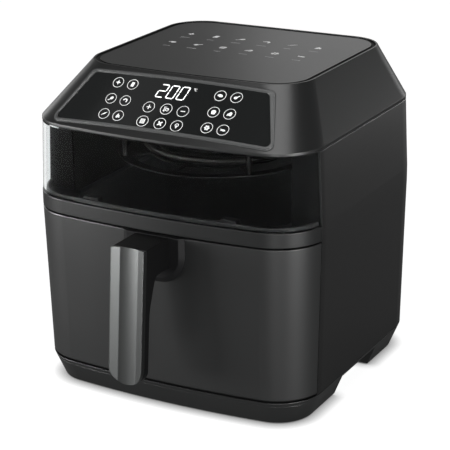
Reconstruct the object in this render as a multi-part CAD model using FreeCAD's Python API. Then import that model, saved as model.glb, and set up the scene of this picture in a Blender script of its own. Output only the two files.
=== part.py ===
import FreeCAD, Part
import math
import os

V = FreeCAD.Vector

# Overall envelope. The front is -Y, the floor is z 0, the middle of the whole object is x 0, y 0.
body_width = 300.0
body_depth = 284.0
body_height = 316.0
handle_reach = 58.0
corner_radius = 50.0
front_bow_radius = 1000.0

# Heights of the casing's bands. The drawer panel takes up what is left.
skirt_bottom = 1.5
base_top = 25.5
rim_height = 14.7
window_height = 70.3
hood_height = 51.0
hood_lip = 3.0
hood_bottom = body_height - hood_height
belt_high = hood_bottom - window_height
belt_low = belt_high - rim_height

# How far the casing draws in from the belt at each level.
skirt_inset = 14.0
lower_inset = 3.9
upper_inset = 2.9

# Flat crown on the top of the hood.
crown_side_setback = 33.5
crown_front_setback = 59.5
crown_back_setback = 13.0
crown_radius = 37.0
crown_rim = 1.8
crown_groove = 4.4
crown_recess = 3.0
gasket_drop = 1.4
crown_width = body_width - 2.0 * crown_side_setback

# Wall thicknesses.
casing_wall = 2.5
hood_wall = 4.0
hood_deck = 6.0
sheet_wall = 1.2
rim_wall = 3.2
window_wall = 3.0

# Clearances.
drawer_gap = 1.2
slide_gap = 0.3
fit_gap = 0.2
bearing_gap = 0.05
gasket_gap = 0.3

# Depth of the wrap-round drawer front and its bottom edge.
drawer_front_depth = 48.0
panel_bevel = 1.8
edge_bevel = 0.7

# Base.
deck_thickness = 4.0
skirt_wall = 3.0
arch_front = 106.0
arch_back = 184.5
foot_radius = 9.0
foot_spread = 88.0

# Chamber and pan.
pan_side_margin = 38.0
liner_space = 6.5
liner_back_margin = 37.0
liner_corner = 34.0
pan_front_margin = 20.0
pan_back_margin = 44.0
pan_floor_gap = 8.0
pan_rise = 8.0
pan_taper = 4.0
pan_corner = 34.0
pan_floor_radius = 10.0
pan_flange = 5.5
pan_half = body_width / 2.0 - pan_side_margin
liner_half = pan_half + liner_space
pan_bottom = base_top + pan_floor_gap
pan_top = belt_low + pan_rise
rim_deck = 2.5
collar_height = 8.0
collar_wall = 2.0

# Handle.
grip_width = 35.0
grip_drop = 0.5
grip_top = belt_low - drawer_gap - grip_drop
grip_bottom = 48.0
grip_tilt = 5.5
face_thickness = 5.4
core_thickness = 9.5
trough_depth = 3.6
trough_lip = 0.7
trough_wall_run = 7.2
trough_sag = 0.8
arm_root_height = 30.5
arm_edge_radius = 3.0
core_swell = 9.0
core_swell_drop = 30.0
pad_width = 65.5
pad_height = 46.5
pad_radius = 28.0
pad_proud = 3.0
pad_bevel = 5.0

# Control panel, measured along the front slope of the hood.
panel_low_margin = 31.5
panel_high_margin = 53.5
panel_bottom_half = body_width / 2.0 - panel_low_margin
panel_top_half = body_width / 2.0 - panel_high_margin
panel_v_low = 8.0
panel_v_high = 71.2
panel_corner = 7.0
bezel_width = 4.0
bezel_proud = 1.5
panel_seat = 1.4

# Fan, heater and motor on one upright axis.
shaft_radius = 4.0
hot_fan_radius = 52.0
hot_fan_blades = 12
cool_fan_radius = 46.0
cool_fan_blades = 9
blade_thickness = 1.2
coil_tube = 3.25
coil_start = 58.0
coil_step = 6.5
coil_half_turns = 5
guard_radius = 100.0
motor_radius = 30.0

# Crisper plate.
crisper_margin = 4.0
crisper_height = 13.0
crisper_thickness = 1.5
slot_columns = 9
slot_rows = 5

half_depth = (body_depth + handle_reach) / 2.0
back_y = half_depth
front_y = back_y - body_depth
seam_y = front_y + drawer_front_depth
drawer_back_y = seam_y - drawer_gap
far = 2.0 * (body_width + body_depth)

parts = {}


def box(x0, x1, y0, y1, z0, z1):
    return Part.makeBox(x1 - x0, y1 - y0, z1 - z0, V(x0, y0, z0))


def rod(x, y, z0, z1, radius):
    return Part.makeCylinder(radius, z1 - z0, V(x, y, z0), V(0, 0, 1))


def rod_y(x, z, y0, y1, radius):
    return Part.makeCylinder(radius, y1 - y0, V(x, y0, z), V(0, 1, 0))


def rod_x(y, z, x0, x1, radius):
    return Part.makeCylinder(radius, x1 - x0, V(x0, y, z), V(1, 0, 0))


def tube(x, y, z0, z1, outer, inner):
    return rod(x, y, z0, z1, outer).cut(rod(x, y, z0, z1, inner))


def arc(a, b, c):
    return Part.Arc(a, b, c).toShape()


def line(a, b):
    return Part.makeLine(a, b)


def extrude(wire, direction):
    return Part.Face(wire).extrude(direction)


def polygon(points, direction):
    return extrude(Part.makePolygon(list(points) + [points[0]]), direction)


def around(centre, radius, angle, z):
    return V(centre[0] + radius * math.sin(angle), centre[1] - radius * math.cos(angle), z)


def outline(shape, inset, z):
    half, front, back, radius, bow = shape
    cx = half - radius
    bow_y = front + bow
    cy = bow_y - math.sqrt((bow - radius) ** 2 - cx ** 2)
    lean = math.atan2(cx, bow_y - cy)
    r = radius - inset
    quarter = math.pi / 2.0
    right = (cx, cy)
    left = (-cx, cy)
    back_right = (cx, back - radius)
    back_left = (-cx, back - radius)
    hub = (0.0, bow_y)
    p1 = around(hub, bow - inset, -lean, z)
    p2 = around(hub, bow - inset, lean, z)
    p3 = around(right, r, quarter, z)
    p4 = around(back_right, r, quarter, z)
    p5 = around(back_right, r, math.pi, z)
    p6 = around(back_left, r, math.pi, z)
    p7 = around(back_left, r, -quarter, z)
    p8 = around(left, r, -quarter, z)
    edges = [
        arc(p1, around(hub, bow - inset, 0.0, z), p2),
        arc(p2, around(right, r, (lean + quarter) / 2.0, z), p3),
        line(p3, p4),
        arc(p4, around(back_right, r, 0.75 * math.pi, z), p5),
        line(p5, p6),
        arc(p6, around(back_left, r, -0.75 * math.pi, z), p7),
        line(p7, p8),
        arc(p8, around(left, r, -(lean + quarter) / 2.0, z), p1),
    ]
    return Part.Wire(edges)


def loft(low, high):
    return Part.makeLoft([low, high], True, True)


def blend_shape(a, b, t):
    return tuple(p + (q - p) * t for p, q in zip(a, b))


def inset_shape(shape, inset):
    half, front, back, radius, bow = shape
    return (half - inset, front + inset, back - inset, radius - inset, bow - inset)


belt = (body_width / 2.0, front_y, back_y, corner_radius, front_bow_radius)
crown = (crown_width / 2.0, front_y + crown_front_setback, back_y - crown_back_setback,
         crown_radius, front_bow_radius)
lip_shape = inset_shape(belt, upper_inset)
lip_top = hood_bottom + hood_lip


def skin_inset(z):
    if z < belt_low:
        return lower_inset * (belt_low - z) / (belt_low - base_top)
    if z > belt_high:
        return upper_inset * (z - belt_high) / (hood_bottom - belt_high)
    return 0.0


def skin(extra, z0, z1, low_bevel=0.0, high_bevel=0.0):
    stations = [(z0, extra + low_bevel)]
    if low_bevel > 0.0:
        stations.append((z0 + low_bevel, extra))
    for z in (belt_low, belt_high):
        if z0 + low_bevel < z < z1 - high_bevel:
            stations.append((z, extra))
    if high_bevel > 0.0:
        stations.append((z1 - high_bevel, extra))
    stations.append((z1, extra + high_bevel))
    solid = None
    for (low, low_extra), (high, high_extra) in zip(stations[:-1], stations[1:]):
        low_wire = outline(belt, skin_inset(low) + low_extra, low)
        high_wire = outline(belt, skin_inset(high) + high_extra, high)
        piece = loft(low_wire, high_wire)
        solid = piece if solid is None else solid.fuse(piece)
    return solid


def skin_band(outer, inner, z0, z1, low_bevel=0.0, high_bevel=0.0):
    return skin(outer, z0, z1, low_bevel, high_bevel).cut(skin(inner, z0 - 1.0, z1 + 1.0))


def prism_of(shape, inset, z0, z1):
    return extrude(outline(shape, inset, z0), V(0, 0, z1 - z0))


front_half = box(-far, far, -far, drawer_back_y, -far, far)
rear_half = box(-far, far, seam_y, far, -far, far)


def rounded(cx, cy, hx, hy, r, z):
    quarter = math.pi / 2.0
    corners = [(cx + hx - r, cy - hy + r), (cx + hx - r, cy + hy - r),
               (cx - hx + r, cy + hy - r), (cx - hx + r, cy - hy + r)]
    edges = []
    ends = []
    for index, corner in enumerate(corners):
        start = around(corner, r, index * quarter, z)
        middle = around(corner, r, (index + 0.5) * quarter, z)
        end = around(corner, r, (index + 1) * quarter, z)
        ends.append((start, end, arc(start, middle, end)))
    for index in range(4):
        edges.append(ends[index][2])
        edges.append(line(ends[index][1], ends[(index + 1) % 4][0]))
    return Part.Wire(edges)


# Base: a deck over two shallow trays that stand as the front and rear feet, with an arch between them.
deck_bottom = base_top - deck_thickness


def skirt_wire(extra, z):
    share = (base_top - z) / (base_top - skirt_bottom)
    return outline(belt, lower_inset + (skirt_inset - lower_inset) * share + extra, z)


arch_y0 = front_y + arch_front
arch_y1 = front_y + arch_back
tray_outer = loft(skirt_wire(0.0, skirt_bottom), skirt_wire(0.0, deck_bottom))
tray_floor = skirt_bottom + skirt_wall
tray_inner = loft(skirt_wire(skirt_wall, tray_floor), skirt_wire(skirt_wall, deck_bottom + 1.0))
parts["base_deck"] = loft(skirt_wire(0.0, deck_bottom), skirt_wire(0.0, base_top))
for name, y0, y1 in (("front_foot", -far, arch_y0), ("rear_foot", arch_y1, far)):
    outer = tray_outer.common(box(-far, far, y0, y1, -far, far))
    inner = tray_inner.common(box(-far, far, y0 + skirt_wall, y1 - skirt_wall, -far, far))
    parts[name] = outer.cut(inner)
foot_ys = (front_y + 52.0, back_y - 48.0)
foot_places = [(x, y) for x in (-foot_spread, foot_spread) for y in foot_ys]
feet = []
for x, y in foot_places:
    feet.append(rod(x, y, 0.0, skirt_bottom, foot_radius))
parts["rubber_feet"] = Part.Compound(feet)

# Rear casing: sides and back in one wrap, with the vent and the cord entry behind.
vent_half = 50.0
vent_low = hood_bottom - 62.0
vent_high = hood_bottom - 36.0
gland_x = 92.0
gland_z = 62.0
gland_radius = 9.0
gland_bore = 3.6
wrap = skin_band(0.0, casing_wall, base_top, hood_bottom, edge_bevel, edge_bevel).common(rear_half)
wrap = wrap.cut(box(-vent_half, vent_half, back_y - 12.0, far, vent_low, vent_high))
wrap = wrap.cut(rod_y(gland_x, gland_z, back_y - 14.0, back_y + 5.0, gland_radius + fit_gap))
parts["outer_wrap"] = wrap

duct_margin = 4.0
liner_back = back_y - liner_back_margin
liner_back_outer = liner_back + sheet_wall
slats = []
slat_count = 5
slat_pitch = (vent_high - vent_low) / slat_count
grille = skin_band(0.4, casing_wall, vent_low + slide_gap, vent_high - slide_gap)
grille = grille.common(box(-vent_half + slide_gap, vent_half - slide_gap, 0.0, far, 0.0, far))
for index in range(slat_count):
    z = vent_low + slat_pitch * (index + 0.5)
    for side in (-1.0, 1.0):
        x0 = min(side * 4.0, side * (vent_half - 4.0))
        x1 = max(side * 4.0, side * (vent_half - 4.0))
        slats.append(box(x0, x1, 0.0, far, z - 1.5, z + 1.5))
parts["exhaust_grille"] = grille.cut(Part.Compound(slats))

duct_outer = box(-vent_half - duct_margin, vent_half + duct_margin, liner_back_outer, far,
                 vent_low - duct_margin, vent_high + duct_margin)
duct_inner = box(-vent_half, vent_half, 0.0, far, vent_low, vent_high)
duct_limit = skin(casing_wall + fit_gap, vent_low - 10.0, vent_high + 10.0)
parts["exhaust_duct"] = duct_outer.cut(duct_inner).common(duct_limit)

gland_seat = skin(0.0, gland_z - 25.0, gland_z + 25.0)
gland_back = back_y - 1.0
flange = rod_y(gland_x, gland_z, back_y - 8.0, gland_back, gland_radius + 3.5).cut(gland_seat)
sleeve = rod_y(gland_x, gland_z, back_y - 14.0, gland_back, gland_radius)
bore = rod_y(gland_x, gland_z, back_y - 20.0, back_y + 5.0, gland_bore)
parts["cord_gland"] = flange.fuse(sleeve).removeSplitter().cut(bore)

# Chamber liner: sheet walls on three sides with a ceiling under the hood.
bay_frame_depth = 3.0
liner_front = seam_y + bay_frame_depth
axis_y = front_y + pan_front_margin + (body_depth - pan_front_margin - pan_back_margin) / 2.0


def liner_block(grow, z0, z1):
    y_mid = (liner_front + liner_back) / 2.0 - liner_corner
    hy = (liner_back - liner_front) / 2.0 + liner_corner + grow
    wire = rounded(0.0, y_mid, liner_half + grow, hy, liner_corner + grow, z0)
    return extrude(wire, V(0, 0, z1 - z0))


liner = liner_block(sheet_wall, base_top, hood_bottom)
liner = liner.cut(liner_block(0.0, base_top - 1.0, hood_bottom - sheet_wall))
liner = liner.common(box(-far, far, liner_front, far, -far, far))
ceiling_low = hood_bottom - sheet_wall
lamp_y = axis_y + 44.0
lamp_z = hood_bottom - 40.0
lamp_radius = 14.0
switch_x = 62.0
switch_z = pan_top - sheet_wall / 2.0
plunger_radius = 2.5

coil_z = hood_bottom - 27.0
bend = 12.0
leg_top = hood_bottom + 12.0
half_turns = []
centre = 0.0
radius = coil_start
side = 1.0
coil_begin = V(centre + radius, axis_y, coil_z)
for index in range(coil_half_turns):
    start = V(centre + side * radius, axis_y, coil_z)
    middle = V(centre, axis_y + side * radius, coil_z)
    end = V(centre - side * radius, axis_y, coil_z)
    half_turns.append(arc(start, middle, end))
    coil_finish = end
    next_radius = radius + coil_step
    centre = centre - side * radius + side * next_radius
    radius = next_radius
    side = -side
last_side = -side


def leg(point, heading):
    foot = V(point.x, point.y + heading * bend, coil_z + bend)
    turn = math.sqrt(0.5) * bend
    middle = V(point.x, point.y + heading * turn, coil_z + bend - turn)
    top = V(foot.x, foot.y, leg_top)
    return arc(point, middle, foot), line(foot, top), top


start_bend, start_leg, start_top = leg(coil_begin, -1.0)
finish_heading = -last_side
end_bend, end_leg, end_top = leg(coil_finish, finish_heading)
path = Part.Wire(Part.__sortEdges__([start_leg, start_bend] + half_turns + [end_bend, end_leg]))
profile = Part.Wire([Part.makeCircle(coil_tube, start_top, V(0, 0, 1))])
parts["heating_element"] = path.makePipeShell([profile], True, True)

leg_hole = coil_tube + 0.6
leg_tops = (start_top, end_top)
shaft_hole = shaft_radius + 2.0
ceiling_holes = [rod(p.x, p.y, coil_z, far, leg_hole) for p in leg_tops]
ceiling_holes.append(rod(0.0, axis_y, coil_z, far, shaft_hole))
liner = liner.cut(Part.Compound(ceiling_holes))
vent_cut = box(-vent_half + 4.0, vent_half - 4.0, liner_back - 2.0, far, vent_low + 3.0, vent_high - 3.0)
liner = liner.cut(vent_cut)
liner = liner.cut(rod_x(lamp_y, lamp_z, liner_half - 2.0, far, lamp_radius - 4.0))
liner = liner.cut(rod_y(switch_x, switch_z, liner_back - 2.0, far, plunger_radius + 0.6))
parts["chamber_liner"] = liner

# Frame closing the space between casing and liner round the drawer mouth.
frame = skin(casing_wall + fit_gap, base_top, hood_bottom)
frame = frame.common(box(-far, far, seam_y, liner_front, -far, far))
parts["bay_frame"] = frame.cut(box(-liner_half, liner_half, -far, far, -far, far))

# Rails under the pan flange.
rail_top = pan_top - sheet_wall - slide_gap
rail_inner = pan_half + sheet_wall
rail_back = liner_back - liner_corner
rails = []
for side in (-1.0, 1.0):
    x0 = min(side * rail_inner, side * liner_half)
    x1 = max(side * rail_inner, side * liner_half)
    rails.append(box(x0, x1, liner_front + 1.0, rail_back, rail_top - 4.0, rail_top))
parts["drawer_rails"] = Part.Compound(rails)

# Interior lamp on the right-hand chamber wall.
lens = rod_x(lamp_y, lamp_z, liner_half - 3.0, liner_half, lamp_radius)
parts["lamp_lens"] = lens.makeChamfer(1.2, [e for e in lens.Edges if e.BoundBox.XMax < liner_half - 2.5])
parts["lamp_holder"] = rod_x(lamp_y, lamp_z, liner_half + sheet_wall, liner_half + 16.0, lamp_radius)

# Door switch behind the liner, with a plunger the pan flange pushes.
plunger_tip = axis_y + (body_depth - pan_front_margin - pan_back_margin) / 2.0 + pan_flange + slide_gap
switch_back = liner_back_outer + 18.0
switch_hole_end = liner_back_outer + 14.0
switch = box(switch_x - 10.0, switch_x + 10.0, liner_back_outer, switch_back, switch_z - 7.0, switch_z + 7.0)
plunger_bore = rod_y(switch_x, switch_z, 0.0, switch_hole_end, plunger_radius + bearing_gap)
parts["switch_body"] = switch.cut(plunger_bore)
parts["switch_plunger"] = rod_y(switch_x, switch_z, plunger_tip, switch_hole_end - 1.0, plunger_radius)

# Hood: hollow head with a sloping control face and a recessed crown.
deck_z = body_height - hood_deck
deck_share = (deck_z - lip_top) / (body_height - lip_top)
deck_shape = blend_shape(lip_shape, crown, deck_share)
lip_low = hood_bottom + edge_bevel
hood = loft(outline(lip_shape, edge_bevel, hood_bottom), outline(lip_shape, 0.0, lip_low))
hood = hood.fuse(loft(outline(lip_shape, 0.0, lip_low), outline(lip_shape, 0.0, lip_top)))
hood = hood.fuse(loft(outline(lip_shape, 0.0, lip_top), outline(crown, 0.0, body_height)))
hollow = loft(outline(lip_shape, hood_wall, hood_bottom - 1.0), outline(lip_shape, hood_wall, lip_top))
hollow = hollow.fuse(loft(outline(lip_shape, hood_wall, lip_top), outline(deck_shape, hood_wall, deck_z)))
hood = hood.cut(hollow)
hood = hood.cut(prism_of(crown, crown_rim, body_height - crown_recess, body_height + 1.0))

slope_low = V(0.0, front_y + upper_inset, lip_top)
slope_high = V(0.0, front_y + crown_front_setback, body_height)
slope_run = slope_high.sub(slope_low)
along = V(slope_run).normalize()
outward = V(0.0, -along.z, along.y)
slope_bow = front_bow_radius - upper_inset
slope_hub = (0.0, slope_low.y + slope_bow)


def slope_slab(d0, d1):
    lean = math.asin(min(0.9, 1.15 * panel_bottom_half / slope_bow))
    low = outward * d0
    left = around(slope_hub, slope_bow, -lean, lip_top) + low
    middle = around(slope_hub, slope_bow, 0.0, lip_top) + low
    right = around(slope_hub, slope_bow, lean, lip_top) + low
    face = arc(left, middle, right).extrude(slope_run)
    return face.extrude(outward * (d1 - d0))


def slope_point(u, v, d):
    return V(u, slope_low.y, slope_low.z) + along * v + outward * d


def panel_prism(inset, d0, d1, corner):
    low_half = panel_bottom_half - inset
    high_half = panel_top_half - inset
    low_v = panel_v_low + inset
    high_v = panel_v_high - inset
    shape = polygon([slope_point(-low_half, low_v, d0), slope_point(low_half, low_v, d0),
                     slope_point(high_half, high_v, d0), slope_point(-high_half, high_v, d0)],
                    outward * (d1 - d0))
    edges = [e for e in shape.Edges if e.Length > (d1 - d0) * 0.999 and e.Length < (d1 - d0) * 1.001]
    return shape.makeFillet(corner, edges)


reach = 22.0
seat_slab = slope_slab(-panel_seat, 15.0)
hood = hood.cut(panel_prism(-fit_gap, -reach, reach, panel_corner).common(seat_slab))
hood = hood.cut(panel_prism(bezel_width + 5.0, -reach, reach, 4.0).common(slope_slab(-9.0, 9.0)))
parts["hood"] = hood

bezel_outer = panel_prism(0.0, -reach, reach, panel_corner)
bezel_inner = panel_prism(bezel_width, -reach, reach, panel_corner - 2.5)
ring_low = bezel_outer.cut(bezel_inner).common(slope_slab(-panel_seat, bezel_proud * 0.35))
ring_mid = panel_prism(1.1, -reach, reach, panel_corner - 0.8)
ring_mid = ring_mid.cut(panel_prism(bezel_width - 0.9, -reach, reach, panel_corner - 2.4))
ring_high = ring_mid.common(slope_slab(bezel_proud * 0.35, bezel_proud))
parts["control_bezel"] = ring_low.fuse(ring_high)
glass = panel_prism(bezel_width + fit_gap, -reach, reach, panel_corner - 2.5)
parts["control_glass"] = glass.common(slope_slab(-panel_seat, 0.4))

board_low = -13.0
board_high = -11.4
board_half = panel_top_half - 16.0


def slope_box(u0, u1, v0, v1, d0, d1):
    return polygon([slope_point(u0, v0, d0), slope_point(u1, v0, d0), slope_point(u1, v1, d0),
                    slope_point(u0, v1, d0)], outward * (d1 - d0))


board_v0 = panel_v_low + 10.0
board_v1 = panel_v_high - 13.0
board = slope_box(-board_half, board_half, board_v0, board_v1, board_low, board_high)
posts = []
for u in (-board_half + 5.0, board_half - 5.0):
    for v in (board_v0 + 5.0, board_v1 - 5.0):
        posts.append(Part.makeCylinder(2.5, 7.4, slope_point(u, v, board_high), outward))
parts["control_board"] = board.fuse(posts).removeSplitter()
display_v = panel_v_low + (panel_v_high - panel_v_low) * 0.70
display_half = 7.0
display_low = display_v - display_half
display_high = display_v + display_half
parts["display_module"] = slope_box(-24.0, 24.0, display_low, display_high, board_high, -panel_seat - 0.6)

plate_inset = crown_rim + crown_groove
groove_low = body_height - crown_recess
parts["top_plate"] = prism_of(crown, plate_inset, groove_low, body_height - 0.5)
gasket = prism_of(crown, crown_rim + gasket_gap, groove_low, body_height - gasket_drop)
parts["crown_gasket"] = gasket.cut(prism_of(crown, plate_inset - gasket_gap, groove_low - 1.0, body_height))

# Floor of the hood, carrying the motor and the power board.
floor_top = hood_bottom + 2.0
hood_floor = prism_of(lip_shape, hood_wall + fit_gap, hood_bottom, floor_top)
parts["hood_floor"] = hood_floor.cut(Part.Compound(ceiling_holes))

bracket_top = floor_top + 4.0
motor_top = bracket_top + 22.0
bearing_height = 5.0
bearing_radius = 9.0
parts["motor_bracket"] = tube(0.0, axis_y, floor_top, bracket_top, motor_radius + 5.0, shaft_hole)
parts["motor"] = tube(0.0, axis_y, bracket_top, motor_top, motor_radius, bearing_radius)
bearings = []
for z in (bracket_top, motor_top - bearing_height):
    bearings.append(tube(0.0, axis_y, z, z + bearing_height, bearing_radius, shaft_radius + bearing_gap))
parts["motor_bearings"] = Part.Compound(bearings)

# Rotor: one shaft with the hot-air fan below, the cooling fan above and the armature between.
hot_fan_top = hood_bottom - 6.0
hot_fan_low = hot_fan_top - 12.0
nut_low = hot_fan_low - 5.0
cool_fan_low = motor_top + 3.0
cool_fan_high = cool_fan_low + 9.0
shaft_low = nut_low - 2.0
shaft_high = cool_fan_high + 1.0
parts["fan_shaft"] = rod(0.0, axis_y, shaft_low, shaft_high, shaft_radius)
core_low = bracket_top + 6.5
core_high = motor_top - 6.5
parts["rotor_core"] = tube(0.0, axis_y, core_low, core_high, bearing_radius - 0.6, shaft_radius)


def blades(count, inner, outer, z0, z1, lean):
    result = []
    for index in range(count):
        blade = box(inner, outer, -blade_thickness / 2.0, blade_thickness / 2.0, z0, z1)
        blade.rotate(V(inner, 0, 0), V(0, 0, 1), lean)
        blade.rotate(V(0, 0, 0), V(0, 0, 1), index * 360.0 / count)
        blade.translate(V(0.0, axis_y, 0.0))
        result.append(blade)
    return result


hub = rod(0.0, axis_y, hot_fan_low, hot_fan_top, 10.0)
plate = rod(0.0, axis_y, hot_fan_top - sheet_wall, hot_fan_top, hot_fan_radius)
hot_blades = blades(hot_fan_blades, 24.0, hot_fan_radius - 3.0, hot_fan_low, hot_fan_top - sheet_wall, 18.0)
hot_fan = plate.fuse([hub] + hot_blades).removeSplitter()
parts["hot_air_fan"] = hot_fan.cut(rod(0.0, axis_y, 0.0, far, shaft_radius))
hub = rod(0.0, axis_y, cool_fan_low, cool_fan_high, 11.0)
plate = rod(0.0, axis_y, cool_fan_low, cool_fan_low + 1.5, cool_fan_radius)
cool_blades = blades(cool_fan_blades, 16.0, cool_fan_radius - 3.0, cool_fan_low + 1.5, cool_fan_high, 20.0)
cooling_fan = plate.fuse([hub] + cool_blades).removeSplitter()
parts["cooling_fan"] = cooling_fan.cut(rod(0.0, axis_y, 0.0, far, shaft_radius))
nut_points = []
for index in range(6):
    angle = math.radians(60.0 * index)
    nut_points.append(V(7.5 * math.cos(angle), axis_y + 7.5 * math.sin(angle), nut_low))
nut = polygon(nut_points, V(0, 0, hot_fan_low - nut_low))
parts["fan_nut"] = nut.cut(rod(0.0, axis_y, 0.0, far, shaft_radius))

# Guard below the heater, hung from the ceiling on four posts.
guard_low = coil_z - 11.0
guard_high = guard_low + sheet_wall
guard = rod(0.0, axis_y, guard_low, guard_high, guard_radius)
sectors = 8
openings = []
for inner, outer in ((14.0, 38.0), (43.0, 64.0), (69.0, 90.0)):
    openings.append(tube(0.0, axis_y, guard_low - 1.0, guard_high + 1.0, outer, inner))
spokes = []
for index in range(sectors // 2):
    spoke = box(-guard_radius, guard_radius, -2.0, 2.0, guard_low - 2.0, guard_high + 2.0)
    spoke.rotate(V(0, 0, 0), V(0, 0, 1), index * 360.0 / sectors)
    spoke.translate(V(0.0, axis_y, 0.0))
    spokes.append(spoke)
guard = guard.cut(Part.Compound(openings).cut(spokes[0].fuse(spokes[1:])))
hangers = []
for index in range(4):
    angle = math.radians(45.0 + 90.0 * index)
    reach_r = guard_radius - 5.0
    hanger_x = reach_r * math.cos(angle)
    hanger_y = axis_y + reach_r * math.sin(angle)
    hangers.append(rod(hanger_x, hanger_y, guard_high, ceiling_low, 2.5))
parts["fan_guard"] = guard.fuse(hangers).removeSplitter()

probe_back_margin = 25.0
probe_y = liner_back - probe_back_margin
probe = rod(0.0, probe_y, ceiling_low - 26.0, ceiling_low - 2.0, 2.5)
probe_flange = rod(0.0, probe_y, ceiling_low - 2.0, ceiling_low, 6.0)
parts["temperature_probe"] = probe.fuse(probe_flange).removeSplitter()
parts["thermal_cutout"] = rod(-70.0, axis_y + 50.0, floor_top, floor_top + 7.0, 9.0)

power_back_margin = 38.0
power_length = 50.0
board_y1 = back_y - power_back_margin
board_y0 = board_y1 - power_length
power_posts = []
for x in (-44.0, 44.0):
    for y in (board_y0 + 6.0, board_y1 - 6.0):
        power_posts.append(rod(x, y, floor_top, floor_top + 5.0, 3.0))
power = box(-50.0, 50.0, board_y0, board_y1, floor_top + 5.0, floor_top + 6.6)
coil_block = box(-30.0, -4.0, board_y0 + 12.0, board_y0 + 34.0, floor_top + 6.6, floor_top + 24.0)
relay = box(8.0, 30.0, board_y0 + 12.0, board_y0 + 28.0, floor_top + 6.6, floor_top + 20.0)
capacitor = rod(38.0, board_y0 + 38.0, floor_top + 6.6, floor_top + 22.0, 6.0)
parts["power_board"] = power.fuse(power_posts + [coil_block, relay, capacitor]).removeSplitter()

# Drawer front: lower panel, rim band and clear window, all following the casing outline.
panel_low = base_top + drawer_gap
panel_high = belt_low - drawer_gap
panel = skin_band(0.0, casing_wall, panel_low, panel_high, panel_bevel, edge_bevel).common(front_half)

rim = skin_band(0.0, rim_wall, belt_low, belt_high, edge_bevel, edge_bevel)
deck_high = pan_top + rim_deck
deck_plate = skin(rim_wall + 0.05, pan_top, deck_high)
pan_front_y = front_y + pan_front_margin
pan_back_y = back_y - pan_back_margin
pan_mid_y = (pan_front_y + pan_back_y) / 2.0
pan_half_y = (pan_back_y - pan_front_y) / 2.0


def pan_wire(inset, z):
    shift = pan_taper * (pan_top - z) / (pan_top - pan_bottom) + inset
    return rounded(0.0, pan_mid_y, pan_half - shift, pan_half_y - shift, pan_corner - shift, z)


mouth = extrude(pan_wire(sheet_wall, pan_top), V(0, 0, 40.0)).translate(V(0, 0, -10.0))
deck_plate = deck_plate.cut(mouth)
collar = skin_band(window_wall + 0.8, window_wall + 0.8 + collar_wall, deck_high, deck_high + collar_height)
parts["rim_band"] = rim.common(front_half)
parts["rim_deck"] = deck_plate.common(front_half)
parts["window_collar"] = collar.common(front_half)
window_top = hood_bottom - drawer_gap
parts["window"] = skin_band(0.4, 0.4 + window_wall, belt_high, window_top).common(front_half)

clip_x = 74.0
clip_half = 8.0
clip_bow = front_bow_radius - math.sqrt(front_bow_radius ** 2 - (clip_x + clip_half) ** 2)
clip_y = front_y + clip_bow + 0.8 + window_wall + collar_wall + fit_gap
clips = []
for x in (-clip_x, clip_x):
    clip_top = deck_high + collar_height + 2.0
    clips.append(box(x - clip_half, x + clip_half, clip_y, clip_y + 8.0, deck_high, clip_top))
parts["window_clips"] = Part.Compound(clips)

# Pan with a rolled floor edge and an out-turned flange.
pan_outer = loft(pan_wire(0.0, pan_bottom), pan_wire(0.0, pan_top))
pan_inner = loft(pan_wire(sheet_wall, pan_bottom + sheet_wall), pan_wire(sheet_wall, pan_top + 5.0))


def floor_edges(solid, level):
    return [e for e in solid.Edges if e.BoundBox.ZMax < level + 0.01]


pan_outer = pan_outer.makeFillet(pan_floor_radius, floor_edges(pan_outer, pan_bottom))
inner_edges = floor_edges(pan_inner, pan_bottom + sheet_wall)
pan_inner = pan_inner.makeFillet(pan_floor_radius - sheet_wall, inner_edges)
flange_wire = rounded(0.0, pan_mid_y, pan_half + pan_flange, pan_half_y + pan_flange, pan_corner + pan_flange,
                      pan_top - sheet_wall)
flange_plate = extrude(flange_wire, V(0, 0, sheet_wall))
parts["pan"] = pan_outer.fuse(flange_plate).removeSplitter().cut(pan_inner)

drawer_frame_depth = 3.0
drawer_frame = skin(casing_wall + fit_gap, panel_low + 1.0, panel_high)
drawer_frame_back = drawer_back_y - drawer_frame_depth
drawer_frame = drawer_frame.common(box(-far, far, drawer_frame_back, drawer_back_y, -far, far))
parts["drawer_frame"] = drawer_frame.cut(
    box(-pan_half - slide_gap, pan_half + slide_gap, -far, far, pan_bottom - 0.5, far))

# Handle: escutcheon on the panel, arm with a hanging grip, grey face with a trough.


def u_wire(half, low, high, r, y):
    mid = r - r * math.sqrt(0.5)
    edges = [
        line(V(-half, y, high), V(-half, y, low + r)),
        arc(V(-half, y, low + r), V(-half + mid, y, low + mid), V(-half + r, y, low)),
        line(V(-half + r, y, low), V(half - r, y, low)),
        arc(V(half - r, y, low), V(half - mid, y, low + mid), V(half, y, low + r)),
        line(V(half, y, low + r), V(half, y, high)),
        line(V(half, y, high), V(-half, y, high)),
    ]
    return Part.Wire(edges)


pad_low = panel_high - pad_height
pad_face_y = front_y - pad_proud
pad_root = extrude(u_wire(pad_width / 2.0, pad_low, panel_high, pad_radius, front_y), V(0, 8.0, 0))
pad_half = pad_width / 2.0
pad_back = u_wire(pad_half, pad_low, panel_high, pad_radius, front_y)
pad_front = u_wire(pad_half - pad_bevel, pad_low + pad_bevel, panel_high, pad_radius - pad_bevel, pad_face_y)
pad_crown = loft(pad_back, pad_front)
escutcheon = pad_root.fuse(pad_crown).removeSplitter()
escutcheon = escutcheon.cut(skin(0.0, panel_low, panel_high + drawer_gap))

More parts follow.
